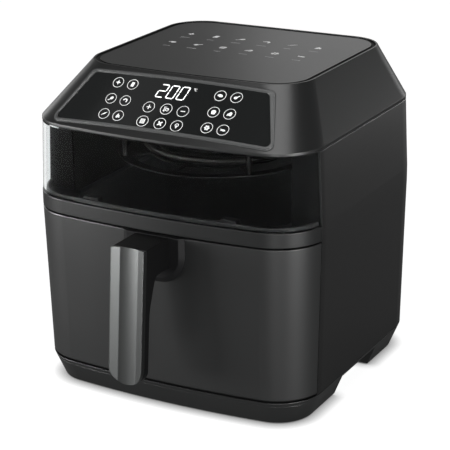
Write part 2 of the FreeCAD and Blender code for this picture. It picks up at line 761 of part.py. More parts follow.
tilt = math.radians(grip_tilt)
grip_length = (grip_top - grip_bottom) / math.cos(tilt)
grip_half = grip_width / 2.0
lip_x = grip_half - trough_lip
lip_rise = grip_half - math.sqrt(grip_half ** 2 - lip_x ** 2)
face_top_y = -half_depth + (grip_length - lip_rise) * math.sin(tilt) + face_thickness * math.cos(tilt)
face_top = V(0, face_top_y, grip_top)
down = V(0, -math.sin(tilt), -math.cos(tilt))
inward = V(0, math.cos(tilt), -math.sin(tilt))
root_low = grip_top - arm_root_height


def on_grip(depth, drop):
    return face_top + down * drop + inward * depth


def corner(before, at, after, r):
    e1 = before.sub(at).normalize()
    e2 = after.sub(at).normalize()
    half_angle = e1.getAngle(e2) / 2.0
    bisector = (e1 + e2).normalize()
    hub_point = at + bisector * (r / math.sin(half_angle))
    run = r / math.tan(half_angle)
    return at + e1 * run, hub_point - bisector * r, at + e2 * run


root = V(0, pad_face_y, root_low)
waist = on_grip(core_thickness, arm_root_height + core_swell_drop)
knee = V(0, on_grip(core_thickness + core_swell, arm_root_height).y, root_low)
heel = on_grip(core_thickness, grip_length - 6.0)
toe = on_grip(0.0, grip_length - 1.0)
knee_arc = corner(root, knee, waist, 9.0)
waist_arc = corner(knee, waist, heel, 60.0)
arm_profile = [
    line(V(0, pad_face_y, grip_top), face_top),
    line(face_top, toe),
    line(toe, heel),
    line(heel, waist_arc[2]),
    arc(waist_arc[2], waist_arc[1], waist_arc[0]),
    line(waist_arc[0], knee_arc[2]),
    arc(knee_arc[2], knee_arc[1], knee_arc[0]),
    line(knee_arc[0], root),
    line(root, V(0, pad_face_y, grip_top)),
]
arm = extrude(Part.Wire(arm_profile), V(grip_width, 0, 0)).translate(V(-grip_half, 0, 0))
soft_edges = []
for edge in arm.Edges:
    spot = edge.CenterOfMass
    across = edge.BoundBox.XLength > 1.0
    behind = spot.sub(face_top).dot(inward) > core_thickness * 0.6
    inside = behind and spot.y < pad_face_y - 0.01 and heel.z < spot.z < grip_top - 1.0
    if inside and not across:
        soft_edges.append(edge)
arm = arm.makeFillet(arm_edge_radius, soft_edges)
grip_wire = u_wire(grip_half, grip_top - grip_length, grip_top, grip_half - 0.01, face_top_y)
spin_axis = V(1, 0, 0)
front_slab = extrude(grip_wire, V(0, -face_thickness, 0))
core_wire = u_wire(grip_half, grip_top - grip_length, grip_top + 5.0, grip_half - 0.01, face_top_y)
core_slab = extrude(core_wire, V(0, far, 0))
core_slab.rotate(face_top, spin_axis, -grip_tilt)
arm = arm.common(core_slab)
floor_x = lip_x - trough_wall_run
trough_y = face_top_y - face_thickness
floor_y = trough_y + trough_depth
over = 1.0
trough = Part.Wire([
    line(V(-lip_x, trough_y, 0), V(-floor_x, floor_y, 0)),
    arc(V(-floor_x, floor_y, 0), V(0, floor_y + trough_sag, 0), V(floor_x, floor_y, 0)),
    line(V(floor_x, floor_y, 0), V(lip_x, trough_y, 0)),
    line(V(lip_x, trough_y, 0), V(lip_x, trough_y - over, 0)),
    line(V(lip_x, trough_y - over, 0), V(-lip_x, trough_y - over, 0)),
    line(V(-lip_x, trough_y - over, 0), V(-lip_x, trough_y, 0)),
])
face = front_slab.cut(extrude(trough, V(0, 0, 2.0 * body_height)))
face.rotate(face_top, spin_axis, -grip_tilt)
parts["handle_face"] = face

screw_z = grip_top - arm_root_height * 0.4
screw_x = grip_half * 0.55
screw_radius = 2.0
bracket_back = front_y + 7.5
bracket = box(-28.0, 28.0, front_y, bracket_back, screw_z - 12.0, screw_z + 9.0)
bracket = bracket.common(skin(casing_wall + 0.05, screw_z - 20.0, screw_z + 12.0))
screw_holes = []
screws = []
for x in (-screw_x, screw_x):
    screw_holes.append(rod_y(x, screw_z, pad_face_y - 13.0, bracket_back + 1.0, screw_radius + bearing_gap))
    head = rod_y(x, screw_z, bracket_back, bracket_back + 2.6, 3.8)
    slot = box(x - 3.0, x + 3.0, bracket_back + 1.6, bracket_back + 3.0, screw_z - 0.5, screw_z + 0.5)
    shank = rod_y(x, screw_z, pad_face_y - 12.0, bracket_back, screw_radius)
    screws.append(head.cut(slot).fuse(shank).removeSplitter())
holes = Part.Compound(screw_holes)
parts["handle_arm"] = arm.cut(holes)
parts["handle_escutcheon"] = escutcheon.cut(holes)
parts["front_panel"] = panel.cut(holes)
parts["handle_bracket"] = bracket.cut(holes)
parts["handle_screws"] = Part.Compound(screws)

# Crisper plate on four silicone feet, with side bumpers and a lifting knob.
crisper_low = pan_bottom + sheet_wall + crisper_height
crisper_high = crisper_low + crisper_thickness
plate = extrude(pan_wire(sheet_wall + crisper_margin, crisper_low), V(0, 0, crisper_thickness))
plate_half_x = pan_half - pan_taper - sheet_wall - crisper_margin
plate_half_y = pan_half_y - pan_taper - sheet_wall - crisper_margin
slots = []
pitch_x = 2.0 * (plate_half_x - 14.0) / slot_columns
pitch_y = 2.0 * (plate_half_y - 14.0) / slot_rows
for column in range(slot_columns):
    for row in range(slot_rows):
        x = (column - (slot_columns - 1) / 2.0) * pitch_x
        y = pan_mid_y + (row - (slot_rows - 1) / 2.0) * pitch_y
        if math.hypot(x, y - pan_mid_y) < 12.0:
            continue
        wire = rounded(x, y, 3.0, pitch_y / 2.0 - 5.0, 2.99, crisper_low - 1.0)
        slots.append(extrude(wire, V(0, 0, crisper_thickness + 2.0)))
plate = plate.cut(Part.Compound(slots))
knob_stem = rod(0.0, pan_mid_y, crisper_high, crisper_high + 14.0, 5.0)
knob_cap = rod(0.0, pan_mid_y, crisper_high + 14.0, crisper_high + 20.0, 10.0)
parts["crisper_plate"] = plate
parts["crisper_knob"] = knob_stem.fuse(knob_cap).removeSplitter()
feet = []
bumpers = []
for x in (-1.0, 1.0):
    for y in (-1.0, 1.0):
        feet.append(rod(x * (plate_half_x - 24.0), pan_mid_y + y * (plate_half_y - 24.0),
                        pan_bottom + sheet_wall + 0.1, crisper_low, 6.0))
parts["crisper_feet"] = Part.Compound(feet)
bumper_reach = crisper_margin - 1.2
for side in (-1.0, 1.0):
    edge = plate_half_x + pan_taper * (crisper_low - pan_bottom) / (pan_top - pan_bottom)
    x0 = min(side * edge, side * (edge + bumper_reach))
    x1 = max(side * edge, side * (edge + bumper_reach))
    bumpers.append(box(x0, x1, pan_mid_y - 9.0, pan_mid_y + 9.0, crisper_low - 1.0, crisper_high + 5.0))
    edge = plate_half_y + pan_taper * (crisper_low - pan_bottom) / (pan_top - pan_bottom)
    y0 = min(side * edge, side * (edge + bumper_reach))
    y1 = max(side * edge, side * (edge + bumper_reach))
    bumpers.append(box(-9.0, 9.0, pan_mid_y + y0, pan_mid_y + y1, crisper_low - 1.0, crisper_high + 5.0))
parts["crisper_bumpers"] = Part.Compound(bumpers)

os.makedirs("parts", exist_ok=True)
for name, shape in parts.items():
    shape.exportStep("parts/" + name + ".step")
    print(name, len(shape.Solids), round(shape.Volume), shape.isValid())
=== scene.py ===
import math
import bpy
import bmesh
from mathutils import Matrix, Vector


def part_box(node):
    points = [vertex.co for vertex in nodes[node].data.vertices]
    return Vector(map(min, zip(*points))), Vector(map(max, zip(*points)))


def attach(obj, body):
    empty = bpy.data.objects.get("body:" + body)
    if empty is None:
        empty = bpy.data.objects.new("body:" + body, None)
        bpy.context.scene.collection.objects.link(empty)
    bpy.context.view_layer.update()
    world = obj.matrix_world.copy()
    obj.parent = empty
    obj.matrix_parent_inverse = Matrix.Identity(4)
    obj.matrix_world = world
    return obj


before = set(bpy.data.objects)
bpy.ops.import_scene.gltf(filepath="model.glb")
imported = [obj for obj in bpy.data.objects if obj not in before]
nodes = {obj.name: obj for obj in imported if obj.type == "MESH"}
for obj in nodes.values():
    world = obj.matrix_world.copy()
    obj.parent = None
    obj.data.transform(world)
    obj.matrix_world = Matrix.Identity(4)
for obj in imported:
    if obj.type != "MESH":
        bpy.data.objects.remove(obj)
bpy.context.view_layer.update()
print("frame loaded:", len(nodes), "nodes")

mm = 0.001


# helpers for objects and nodes

def addToScene(name, data):
    piece = bpy.data.objects.new(name, data)
    bpy.context.collection.objects.link(piece)
    return piece


def feed(tree, value, socket):
    # a number is typed into the socket, another node's output is linked to it
    if isinstance(value, (int, float)):
        socket.default_value = value
    else:
        tree.links.new(value, socket)


def mathNode(tree, operation, *values):
    node = tree.nodes.new("ShaderNodeMath")
    node.operation = operation
    for value, socket in zip(values, node.inputs):
        feed(tree, value, socket)
    return node.outputs[0]


def blend(tree, share, first, second):
    # a mix of two values: first where the share is 0, second where it is 1
    node = tree.nodes.new("ShaderNodeMix")
    feed(tree, share, node.inputs[0])
    feed(tree, first, node.inputs[2])
    feed(tree, second, node.inputs[3])
    return node.outputs[0]


# shader groups shared by several finishes

def newGroup(name, inputs, outputs):
    group = bpy.data.node_groups.new(name, "ShaderNodeTree")
    for way, sockets in (("INPUT", inputs), ("OUTPUT", outputs)):
        for label, kind in sockets.items():
            group.interface.new_socket(label, in_out=way, socket_type="NodeSocket" + kind)
    return group, group.nodes.new("NodeGroupInput"), group.nodes.new("NodeGroupOutput")


bumpDepth = 0.0001  # metres, before a finish's own strength
grainEffect = {"detail": 2.0, "edgeSamples": 4, "driftScale": 9.0, "driftMiddle": 0.5}
speckEffect = {"detail": 1.0}
brushEffect = {"stretch": (1.0, 14.0, 14.0), "drift": 0.16}


def makeGrainGroup():
    # moulded plastic: soft edges and a fine even grain in the normal, a slow drift in the roughness
    group, gin, gout = newGroup(
        "mouldGrain",
        {"Grain Size": "Float", "Grain Depth": "Float", "Edge": "Float",
         "Roughness": "Float", "Drift": "Float"},
        {"Normal": "Vector", "Roughness": "Float"})
    coord = group.nodes.new("ShaderNodeTexCoord")
    grain = group.nodes.new("ShaderNodeTexNoise")
    grain.inputs["Detail"].default_value = grainEffect["detail"]
    bump = group.nodes.new("ShaderNodeBump")
    bump.inputs["Distance"].default_value = bumpDepth
    edge = group.nodes.new("ShaderNodeBevel")
    edge.samples = grainEffect["edgeSamples"]
    drift = group.nodes.new("ShaderNodeTexNoise")
    drift.inputs["Scale"].default_value = grainEffect["driftScale"]
    link = group.links.new
    link(coord.outputs["Object"], grain.inputs["Vector"])
    link(gin.outputs["Grain Size"], grain.inputs["Scale"])
    link(grain.outputs["Fac"], bump.inputs["Height"])
    link(gin.outputs["Grain Depth"], bump.inputs["Strength"])
    link(gin.outputs["Edge"], edge.inputs["Radius"])
    link(edge.outputs["Normal"], bump.inputs["Normal"])
    link(bump.outputs["Normal"], gout.inputs["Normal"])
    link(coord.outputs["Object"], drift.inputs["Vector"])
    spread = mathNode(group, "SUBTRACT", drift.outputs["Fac"], grainEffect["driftMiddle"])
    change = mathNode(group, "MULTIPLY", spread, gin.outputs["Drift"])
    link(mathNode(group, "ADD", change, gin.outputs["Roughness"]), gout.inputs["Roughness"])
    return group


def makeSpeckGroup():
    # coating, ink or dust: a base colour with small specks of a second one
    group, gin, gout = newGroup(
        "coatSpeck",
        {"Base": "Color", "Speck": "Color", "Speck Size": "Float", "Threshold": "Float"},
        {"Color": "Color"})
    coord = group.nodes.new("ShaderNodeTexCoord")
    noise = group.nodes.new("ShaderNodeTexNoise")
    noise.inputs["Detail"].default_value = speckEffect["detail"]
    mix = group.nodes.new("ShaderNodeMix")
    mix.data_type = "RGBA"
    link = group.links.new
    link(coord.outputs["Object"], noise.inputs["Vector"])
    link(gin.outputs["Speck Size"], noise.inputs["Scale"])
    isSpeck = mathNode(group, "GREATER_THAN", noise.outputs["Fac"], gin.outputs["Threshold"])
    link(isSpeck, mix.inputs[0])
    link(gin.outputs["Base"], mix.inputs[6])  # a colour mix takes its colours at 6 and 7
    link(gin.outputs["Speck"], mix.inputs[7])
    link(mix.outputs[2], gout.inputs["Color"])
    return group


def makeBrushGroup():
    # sheet metal: long fine streaks along one axis
    group, gin, gout = newGroup(
        "brushedSheet",
        {"Streak": "Float", "Depth": "Float", "Roughness": "Float"},
        {"Normal": "Vector", "Roughness": "Float"})
    coord = group.nodes.new("ShaderNodeTexCoord")
    stretch = group.nodes.new("ShaderNodeMapping")
    stretch.inputs["Scale"].default_value = brushEffect["stretch"]
    noise = group.nodes.new("ShaderNodeTexNoise")
    bump = group.nodes.new("ShaderNodeBump")
    bump.inputs["Distance"].default_value = bumpDepth
    link = group.links.new
    link(coord.outputs["Object"], stretch.inputs["Vector"])
    link(stretch.outputs["Vector"], noise.inputs["Vector"])
    link(gin.outputs["Streak"], noise.inputs["Scale"])
    link(noise.outputs["Fac"], bump.inputs["Height"])
    link(gin.outputs["Depth"], bump.inputs["Strength"])
    link(bump.outputs["Normal"], gout.inputs["Normal"])
    streaks = noise.outputs["Fac"]
    vary = mathNode(group, "MULTIPLY_ADD", streaks, brushEffect["drift"], gin.outputs["Roughness"])
    link(vary, gout.inputs["Roughness"])
    return group


mouldGrain = makeGrainGroup()
coatSpeck = makeSpeckGroup()
brushedSheet = makeBrushGroup()


# finishes

def grey(level):
    return (level, level, level)


def newMaterial(name, color, roughness, metallic=0.0):
    mat = bpy.data.materials.new(name)
    mat.use_nodes = True
    shader = mat.node_tree.nodes["Principled BSDF"]
    shader.inputs["Base Color"].default_value = (*color, 1.0)
    shader.inputs["Roughness"].default_value = roughness
    shader.inputs["Metallic"].default_value = metallic
    return mat, shader


def addGroup(mat, shader, group, values, outputs):
    # place a group and link the outputs named to the shader
    node = mat.node_tree.nodes.new("ShaderNodeGroup")
    node.node_tree = group
    for label, value in values.items():
        node.inputs[label].default_value = value
    for label, target in outputs.items():
        mat.node_tree.links.new(node.outputs[label], shader.inputs[target])


def mouldedPlastic(name, look):
    mat, shader = newMaterial(name, look["color"], look["roughness"], look.get("metallic", 0.0))
    shader.inputs["Specular IOR Level"].default_value = look["gloss"]
    values = {
        "Grain Size": look["grainSize"], "Grain Depth": look["grainDepth"], "Edge": look["edge"],
        "Roughness": look["roughness"], "Drift": look["drift"],
    }
    addGroup(mat, shader, mouldGrain, values, {"Normal": "Normal", "Roughness": "Roughness"})
    return mat


def sheetMetal(name, look):
    mat, shader = newMaterial(name, look["color"], look["roughness"], 1.0)
    values = {"Streak": look["streak"], "Depth": look["depth"], "Roughness": look["roughness"]}
    addGroup(mat, shader, brushedSheet, values, {"Normal": "Normal", "Roughness": "Roughness"})
    return mat


def addSmudge(mat, shader, look):
    # only the roughness drifts and the face stays smooth
    values = {"Roughness": look["roughness"], "Drift": look["drift"]}
    addGroup(mat, shader, mouldGrain, values, {"Roughness": "Roughness"})


def addSpecks(mat, shader, look):
    values = {
        "Base": (*look["color"], 1.0), "Speck": (*look["speck"], 1.0),
        "Speck Size": look["speckSize"], "Threshold": look["threshold"],
    }
    addGroup(mat, shader, coatSpeck, values, {"Color": "Base Color"})


def printedInk(name, look):
    mat, shader = newMaterial(name, look["color"], look["roughness"])
    shader.inputs["Emission Color"].default_value = (*look["glowColor"], 1.0)
    shader.inputs["Emission Strength"].default_value = look["glow"]
    addSpecks(mat, shader, look)
    return mat


casingLook = {
    "color": (0.0048, 0.0050, 0.0050), "roughness": 0.32, "gloss": 0.75,
    "grainSize": 1100.0, "grainDepth": 0.10, "drift": 0.04, "edge": 0.0009,
}
casingPlastic = mouldedPlastic("casingPlastic", casingLook)
rimPlastic = mouldedPlastic("rimPlastic", dict(casingLook, gloss=0.40))
hoodPlastic = mouldedPlastic("hoodPlastic", dict(casingLook, gloss=0.55))

blackLook = {
    "color": (0.006, 0.006, 0.0062), "roughness": 0.40, "gloss": 0.20,
    "grainSize": 1100.0, "grainDepth": 0.08, "drift": 0.04, "edge": 0.0006,
}
blackPlastic = mouldedPlastic("blackPlastic", blackLook)

# frame plastic: black plastic darkened further as painted shade, for the frames that sit in the dim chamber
# behind the window
frameShadeLook = {
    "color": (0.0012, 0.0012, 0.0013), "roughness": 0.5, "gloss": 0.03,
    "grainSize": 1000.0, "grainDepth": 0.1, "drift": 0.05, "edge": 0.0006,
}
frameShadePlastic = mouldedPlastic("frameShadePlastic", frameShadeLook)

armLook = {
    "color": (0.0020, 0.0020, 0.0021), "roughness": 0.38, "gloss": 0.11,
    "grainSize": 1200.0, "grainDepth": 0.06, "drift": 0.04, "edge": 0.0008,
}
armPlastic = mouldedPlastic("armPlastic", armLook)
padLook = dict(armLook, color=(0.0035, 0.0035, 0.0037), roughness=0.36, gloss=0.20)
padPlastic = mouldedPlastic("padPlastic", padLook)

# chamber enamel: a dark enamel, darkened further as painted shade for the dim chamber; the fan guard a
# little darker still
linerShadeLook = {
    "color": (0.0032, 0.0032, 0.0033), "roughness": 0.48, "gloss": 0.10,
    "grainSize": 500.0, "grainDepth": 0.15, "drift": 0.08, "edge": 0.0006,
}
linerEnamelShaded = mouldedPlastic("linerEnamelShaded", linerShadeLook)
guardEnamelShaded = mouldedPlastic("guardEnamelShaded", dict(linerShadeLook, color=(0.0028, 0.0028, 0.0029), gloss=0.06))

gripLook = {
    "color": (0.099, 0.102, 0.101), "roughness": 0.31, "gloss": 0.5, "metallic": 1.0,
    "grainSize": 1500.0, "grainDepth": 0.05, "drift": 0.03, "edge": 0.0006,
}
gripPlastic = mouldedPlastic("gripPlastic", gripLook)

bezelLook = {
    "color": (0.045, 0.046, 0.046), "roughness": 0.25, "gloss": 0.6,
    "grainSize": 1400.0, "grainDepth": 0.03, "drift": 0.02, "edge": 0.0006,
}
bezelPlastic = mouldedPlastic("bezelPlastic", bezelLook)

crownLook = {
    "color": (0.028, 0.0285, 0.028), "roughness": 0.34, "gloss": 0.5,
    "grainSize": 1600.0, "grainDepth": 0.03, "drift": 0.03, "edge": 0.0006,
}
crownPlastic = mouldedPlastic("crownPlastic", crownLook)

rubberLook = {
    "color": grey(0.012), "roughness": 0.75, "gloss": 0.3,
    "grainSize": 700.0, "grainDepth": 0.25, "drift": 0.05, "edge": 0.0006,
}
footRubber = mouldedPlastic("footRubber", rubberLook)

boardLook = {
    "color": (0.02, 0.09, 0.035), "roughness": 0.45, "gloss": 0.5,
    "grainSize": 500.0, "grainDepth": 0.1, "drift": 0.05, "edge": 0.0006,
}
boardGreen = mouldedPlastic("boardGreen", boardLook)

steelLook = {"color": (0.52, 0.51, 0.50), "roughness": 0.30, "streak": 60.0, "depth": 0.10}
turnedLook = {"color": (0.58, 0.57, 0.56), "roughness": 0.24, "streak": 90.0, "depth": 0.06}
heaterLook = {"color": (0.014, 0.0135, 0.013), "roughness": 0.45, "streak": 80.0, "depth": 0.10}
sheetSteel = sheetMetal("sheetSteel", steelLook)
turnedSteel = sheetMetal("turnedSteel", turnedLook)
heaterSheath = sheetMetal("heaterSheath", heaterLook)

panelLook = {"color": (0.006, 0.0065, 0.0065), "roughness": 0.08, "drift": 0.05, "gloss": 0.45}
panelBlack, panelShader = newMaterial("panelBlack", panelLook["color"], panelLook["roughness"])
panelShader.inputs["Specular IOR Level"].default_value = panelLook["gloss"]
addSmudge(panelBlack, panelShader, panelLook)

windowLook = {
    "color": (0.86, 0.88, 0.88), "roughness": 0.0, "clear": 1.0, "ior": 1.12,
    "speck": (0.82, 0.84, 0.84), "speckSize": 240.0, "threshold": 0.70,  # a little dust
}
windowClear, windowShader = newMaterial("windowClear", windowLook["color"], windowLook["roughness"])
windowShader.inputs["Transmission Weight"].default_value = windowLook["clear"]
windowShader.inputs["IOR"].default_value = windowLook["ior"]
addSpecks(windowClear, windowShader, windowLook)

lampLook = {"color": (0.92, 0.90, 0.84), "roughness": 0.18, "drift": 0.06, "clear": 0.8}
lampGlass, lampShader = newMaterial("lampGlass", lampLook["color"], lampLook["roughness"])
lampShader.inputs["Transmission Weight"].default_value = lampLook["clear"]
addSmudge(lampGlass, lampShader, lampLook)

coatLook = {
    "color": (0.016, 0.016, 0.017), "roughness": 0.34,
    "speck": grey(0.07), "speckSize": 620.0, "threshold": 0.66,
}
panCoat, panShader = newMaterial("panCoat", coatLook["color"], coatLook["roughness"])
addSpecks(panCoat, panShader, coatLook)

# the key print is light grey ink with a faint painted glow on top
keyInkGlowing = {
    "color": grey(0.60), "roughness": 0.5, "glowColor": grey(0.9), "glow": 0.06,
    "speck": grey(0.53), "speckSize": 1800.0, "threshold": 0.60,
}
digitInk = {
    "color": grey(0.90), "roughness": 0.5, "glowColor": grey(1.0), "glow": 0.55,
    "speck": grey(0.84), "speckSize": 1800.0, "threshold": 0.62,
}
crownInk = {
    "color": grey(0.86), "roughness": 0.5, "glowColor": grey(1.0), "glow": 0.0,
    "speck": grey(0.76), "speckSize": 1500.0, "threshold": 0.60,
}
keyPrintGlowing = printedInk("keyPrintGlowing", keyInkGlowing)
digitLit = printedInk("digitLit", digitInk)
crownPrint = printedInk("crownPrint", crownInk)
captionPrint = printedInk("captionPrint", dict(crownInk, color=grey(0.36), speck=grey(0.28)))

nodeFinish = {
    casingPlastic: ["outer_wrap", "front_panel", "base_deck", "front_foot", "rear_foot"],
    rimPlastic: ["rim_band"],
    hoodPlastic: ["hood"],
    armPlastic: ["handle_arm"],
    padPlastic: ["handle_escutcheon"],
    frameShadePlastic: ["bay_frame", "drawer_frame"],
    blackPlastic: ["hood_floor", "window_clips", "rim_deck", "window_collar", "exhaust_grille",
                   "exhaust_duct", "cord_gland", "handle_bracket", "cooling_fan", "lamp_holder",
                   "switch_body", "switch_plunger", "display_module"],
    gripPlastic: ["handle_face"],
    bezelPlastic: ["control_bezel"],
    crownPlastic: ["top_plate"],
    panelBlack: ["control_glass"],
    windowClear: ["window"],
    lampGlass: ["lamp_lens"],
    panCoat: ["pan", "crisper_plate", "crisper_knob"],
    linerEnamelShaded: ["chamber_liner"],
    guardEnamelShaded: ["fan_guard"],
    sheetSteel: ["drawer_rails", "motor_bracket", "hot_air_fan"],
    turnedSteel: ["fan_shaft", "rotor_core", "motor", "motor_bearings", "fan_nut", "handle_screws",
                  "temperature_probe", "thermal_cutout"],
    heaterSheath: ["heating_element"],
    # the crown gasket is a black rubber ring in the groove round the top plate; its black also stands in for
    # the groove's shade, as painted shade
    footRubber: ["rubber_feet", "crisper_feet", "crisper_bumpers", "crown_gasket"],
    boardGreen: ["control_board", "power_board"],
}
for material, names in nodeFinish.items():
    for name in names:
        mesh = nodes[name].data
        mesh.materials.clear()
        mesh.materials.append(material)
print("finishes set on", sum(len(names) for names in nodeFinish.values()), "nodes")


# flat symbol outlines, drawn about the origin a little over one unit wide, placed by centre and size

def circlePoints(cx, cy, radius, count=22, squash=1.0, turn=0.0):
    points = []
    for step in range(count):
        angle = 2.0 * math.pi * step / count
        x = radius * math.cos(angle)
        y = radius * squash * math.sin(angle)
        points.append((cx + x * math.cos(turn) - y * math.sin(turn),
                       cy + x * math.sin(turn) + y * math.cos(turn)))
    return points


def barPoints(x0, y0, x1, y1, width):
    run = Vector((x1 - x0, y1 - y0)).normalized()
    side = Vector((-run.y, run.x)) * width / 2.0
    return [(x0 - side.x, y0 - side.y), (x1 - side.x, y1 - side.y),
            (x1 + side.x, y1 + side.y), (x0 + side.x, y0 + side.y)]


def arcBand(cx, cy, radius, width, start, end, count=14):
    outer, inner = [], []
    for step in range(count + 1):
        angle = math.radians(start + (end - start) * step / count)
        for edge, reach in ((outer, radius + width / 2.0), (inner, radius - width / 2.0)):
            edge.append((cx + reach * math.cos(angle), cy + reach * math.sin(angle)))
    return outer + inner[::-1]


def ringBands(cx, cy, radius, width):
    return [arcBand(cx, cy, radius, width, 0, 180), arcBand(cx, cy, radius, width, 180, 360)]


def fanBlade(angle, out=0.30, aside=0.12, lean=0.35):
    cx = out * math.cos(angle) - aside * math.sin(angle)
    cy = out * math.sin(angle) + aside * math.cos(angle)
    return circlePoints(cx, cy, 0.36, count=16, squash=0.46, turn=angle + lean)


def petal(angle, out=0.40):
    return circlePoints(out * math.cos(angle), out * math.sin(angle), 0.19, 12)


symbols = {
    "sparkle": [[(0, 0.62), (0.16, 0.16), (0.62, 0), (0.16, -0.16),
                 (0, -0.62), (-0.16, -0.16), (-0.62, 0), (-0.16, 0.16)]],
    "toast": [[(-0.38, -0.52), (0.34, -0.52), (0.38, 0.5), (-0.26, 0.54)]],
    "drumstick": [circlePoints(0.14, 0.12, 0.42, squash=0.74, turn=0.7),
                  barPoints(-0.1, -0.12, -0.5, -0.44, 0.2),
                  circlePoints(-0.52, -0.42, 0.14, 10)],
    "prawn": [arcBand(0.0, 0.02, 0.36, 0.28, -60, 170), barPoints(-0.36, 0.06, -0.58, 0.2, 0.2)],
    "skewer": [barPoints(-0.55, -0.36, 0.55, 0.42, 0.13), barPoints(-0.26, -0.16, 0.3, 0.24, 0.28)],
    "pepper": [[(-0.44, -0.5), (-0.36, 0.08), (-0.02, 0.56), (0.14, 0.08),
                (0.34, 0.24), (0.46, -0.5), (0.1, -0.34), (-0.06, -0.5)]],
    "steak": [circlePoints(0.04, 0.0, 0.54, squash=0.62, turn=-0.3), circlePoints(-0.42, 0.06, 0.2, 12)],
    "ladle": [circlePoints(-0.16, -0.1, 0.38, squash=0.84), barPoints(0.02, 0.06, 0.58, 0.42, 0.2)],
    "muffin": [[(-0.36, -0.5), (0.36, -0.5), (0.5, 0.02), (-0.5, 0.02)],
               circlePoints(0.0, 0.14, 0.5, squash=0.66)],
    "floret": [circlePoints(-0.18, -0.12, 0.28, 14), circlePoints(0.2, 0.1, 0.34, 16),
               circlePoints(0.24, -0.26, 0.24, 12), barPoints(-0.16, -0.12, -0.5, -0.4, 0.2)],
    "blossom": [petal(step * math.pi / 3.0) for step in range(6)] + ringBands(0.0, 0.0, 0.22, 0.16),
    "fish": [circlePoints(0.1, -0.08, 0.46, squash=0.46, turn=-0.15),
             [(-0.2, 0.0), (-0.6, 0.34), (-0.46, -0.02), (-0.5, -0.36)]],
    "plus": [barPoints(-0.5, 0, 0.5, 0, 0.2), barPoints(0, -0.5, 0, 0.5, 0.2)],
    "minus": [barPoints(-0.5, 0, 0.5, 0, 0.2)],
    "timeTemp": ringBands(0.24, -0.1, 0.32, 0.14) + [
        barPoints(0.24, -0.1, 0.24, 0.16, 0.1), barPoints(0.24, -0.1, 0.42, -0.1, 0.1),
        barPoints(-0.44, -0.3, -0.44, 0.56, 0.18), circlePoints(-0.44, -0.38, 0.18, 12),
        barPoints(-0.1, 0.62, -0.3, -0.7, 0.08)],
    "menuGrid": [barPoints(-0.5, y, 0.5, y, 0.15) for y in (-0.46, -0.23, 0.0, 0.23, 0.46)] + [
        barPoints(x, -0.5, x, 0.5, 0.12) for x in (-0.46, 0.46)],
    "airFan": [fanBlade(angle) for angle in (0.35, 1.92, 3.49, 5.06)],
    "bulb": ringBands(0.0, 0.16, 0.34, 0.13) + [
        barPoints(-0.18, -0.3, 0.18, -0.3, 0.13), barPoints(-0.14, -0.48, 0.14, -0.48, 0.13),
        barPoints(0.0, 0.2, 0.0, -0.2, 0.1)],
}


def placed(symbol, cx, cy, size):
    return [[(cx + size * x, cy + size * y) for x, y in polygon] for polygon in symbols[symbol]]


def flatMesh(name, polygons, z):
    bm = bmesh.new()
    for polygon in polygons:
        face = bm.faces.new([bm.verts.new((x, y, z)) for x, y in polygon])
        face.normal_update()
        if face.normal.z < 0.0:
            face.normal_flip()
    bmesh.ops.triangulate(bm, faces=bm.faces[:])
    mesh = bpy.data.meshes.new(name)
    bm.to_mesh(mesh)
    bm.free()
    return mesh


# the front slope of the hood, in metres: a sheet bowed about an upright axis
slope = {
    "low": (0.0, -0.1101, 0.268),
    "high": (0.0, -0.0535, 0.316),
    "bow": 0.9971,
    "glass": 0.0004,
}
slopeAlong = (Vector(slope["high"]) - Vector(slope["low"])).normalized()
slopeOut = Vector((0.0, -slopeAlong.z, slopeAlong.y))
inkHeight = 0.00006  # thickness of raised ink, and how far ink stands off the crown
inkGap = 0.00008  # how far ink stands off the panel's glass


# geometry node helpers

def newTree(name, sizes, seeded=False):
    # every size is a float input; a finish always follows, and a seed where something is random
    tree = bpy.data.node_groups.new(name, "GeometryNodeTree")
    tree.interface.new_socket("Geometry", in_out="INPUT", socket_type="NodeSocketGeometry")
    kinds = {label: "NodeSocketFloat" for label in sizes}
    if seeded:
        kinds["Seed"] = "NodeSocketInt"
    kinds["Finish"] = "NodeSocketMaterial"
    ids = {}
    for label, kind in kinds.items():
        ids[label] = tree.interface.new_socket(label, in_out="INPUT", socket_type=kind).identifier
    tree.interface.new_socket("Geometry", in_out="OUTPUT", socket_type="NodeSocketGeometry")
    return tree, tree.nodes.new("NodeGroupInput"), tree.nodes.new("NodeGroupOutput"), ids


def copyToPoints(tree, gin, shape):
    # one copy of the shape on each point of the mesh that comes in
    points = tree.nodes.new("GeometryNodeMeshToPoints")
    copies = tree.nodes.new("GeometryNodeInstanceOnPoints")
    real = tree.nodes.new("GeometryNodeRealizeInstances")
    tree.links.new(gin.outputs["Geometry"], points.inputs["Mesh"])
    tree.links.new(points.outputs[0], copies.inputs["Points"])
    tree.links.new(shape, copies.inputs["Instance"])
    tree.links.new(copies.outputs[0], real.inputs[0])
    return copies, real.outputs[0]


def boxNode(tree, width, depth, height):
    size = tree.nodes.new("ShaderNodeCombineXYZ")
    for value, socket in zip((width, depth, height), size.inputs):
        feed(tree, value, socket)
    cube = tree.nodes.new("GeometryNodeMeshCube")
    tree.links.new(size.outputs[0], cube.inputs["Size"])
    return cube.outputs[0]


